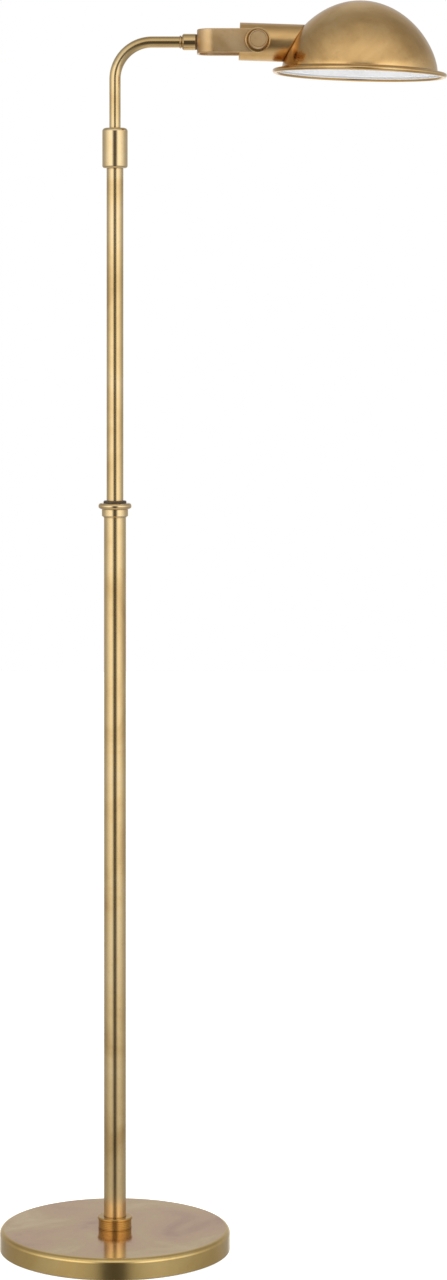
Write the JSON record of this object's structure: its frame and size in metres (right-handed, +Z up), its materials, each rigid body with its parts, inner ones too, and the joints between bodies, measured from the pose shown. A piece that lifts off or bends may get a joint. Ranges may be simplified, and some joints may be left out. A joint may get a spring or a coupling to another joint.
{
  "type": "pharmacy floor lamp",
  "caption": "Brass pharmacy floor lamp: weighted round base, telescoping column, swivelling gooseneck arm and a domed shade on a tilting housing held in a strap yoke.",
  "frame": {"origin": "on the floor at the axis of the column, at the centre of the base pad's underside", "axes": "+Z up the column, +X along the arm towards the shade, +Y to the back, where the cord gland is"},
  "size_m": [0.5049, 0.2615, 1.41],
  "materials": {
    "aged_brass": "hand-rubbed antique brass, satin with a soft polish",
    "shade_brass": "hand-rubbed antique brass outside, white enamel inside",
    "cast_iron": "rough casting, black dipped",
    "felt": "dense felt",
    "black_rubber": "matt",
    "zinc_steel": "zinc plated",
    "dark_nylon": "matt, dark brown",
    "black_phenolic": "moulded, matt",
    "white_porcelain": "glazed",
    "lead_sheath": "smooth sheath, gold-brown",
    "frosted_glass": "frosted",
    "lamp_cap": "drawn, bright"
  },
  "bodies": {
    "stand": {"base_shell": "aged_brass", "base_weight": "cast_iron", "base_pad": "felt", "cord_gland": "black_rubber", "column_rod": "zinc_steel", "column_washer": "zinc_steel", "column_nut": "zinc_steel", "column_plug": "aged_brass", "foot_collar": "aged_brass", "lower_tube": "aged_brass", "clamp_collar": "aged_brass", "clamp_collet": "dark_nylon"},
    "twist_ring": {"clamp_ring": "aged_brass"},
    "upper_column": {"upper_tube": "aged_brass", "guide_bush": "dark_nylon", "swivel_collar": "aged_brass", "collar_screw": "zinc_steel", "stop_pin": "zinc_steel"},
    "arm": {"swivel_stem": "zinc_steel", "thrust_washer": "zinc_steel", "spring_washer": "zinc_steel", "stop_washer": "zinc_steel", "stem_nut": "zinc_steel", "arm_tube": "aged_brass", "arm_lead": "lead_sheath", "arm_bead": "aged_brass", "arm_ferrule": "aged_brass", "yoke_rod": "zinc_steel", "yoke_spacer": "dark_nylon", "roll_pin": "zinc_steel", "yoke_washer": "zinc_steel", "yoke_nut": "zinc_steel"},
    "yoke_bracket": {"yoke": "aged_brass", "pivot_washers": "dark_nylon"},
    "head": {"shade": "shade_brass", "lamp_housing": "aged_brass", "housing_cap": "aged_brass", "lead_grommet": "black_rubber", "pivot_hubs": "aged_brass", "pivot_screw": "aged_brass", "dimmer_body": "black_phenolic", "pivot_flange": "aged_brass", "holder_plate": "zinc_steel", "lampholder": "white_porcelain", "holder_screws": "zinc_steel", "screw_shell": "lamp_cap", "centre_contact": "lamp_cap", "bulb_cap": "lamp_cap", "bulb_glass": "frosted_glass"},
    "knob": {"dimmer_shaft": "zinc_steel", "dimmer_knob": "aged_brass"}
  },
  "joints": [
    {"name": "clamp_twist", "type": "hinge", "parent": "stand", "child": "twist_ring", "pos_m": [0, 0, 0.8356], "axis": [0, 0, 1], "range_deg": [0, 120]},
    {"name": "column_height", "type": "slide", "parent": "stand", "child": "upper_column", "axis": [0, 0, 1], "range_m": [-0.37, 0.035]},
    {"name": "arm_swivel", "type": "hinge", "parent": "upper_column", "child": "arm", "pos_m": [0, 0, 1.2458], "axis": [0, 0, 1], "range_deg": [-160, 160]},
    {"name": "yoke_roll", "type": "hinge", "parent": "arm", "child": "yoke_bracket", "pos_m": [0.0927, 0, 1.3632], "axis": [1, 0, 0], "range_deg": [-90, 90]},
    {"name": "head_tilt", "type": "hinge", "parent": "yoke_bracket", "child": "head", "pos_m": [0.1606, 0, 1.3632], "axis": [0, 1, 0], "range_deg": [-80, 90]},
    {"name": "dimmer_turn", "type": "hinge", "parent": "head", "child": "knob", "pos_m": [0.1606, -0.04, 1.3632], "axis": [0, 1, 0], "range_deg": [0, 300]}
  ]
}
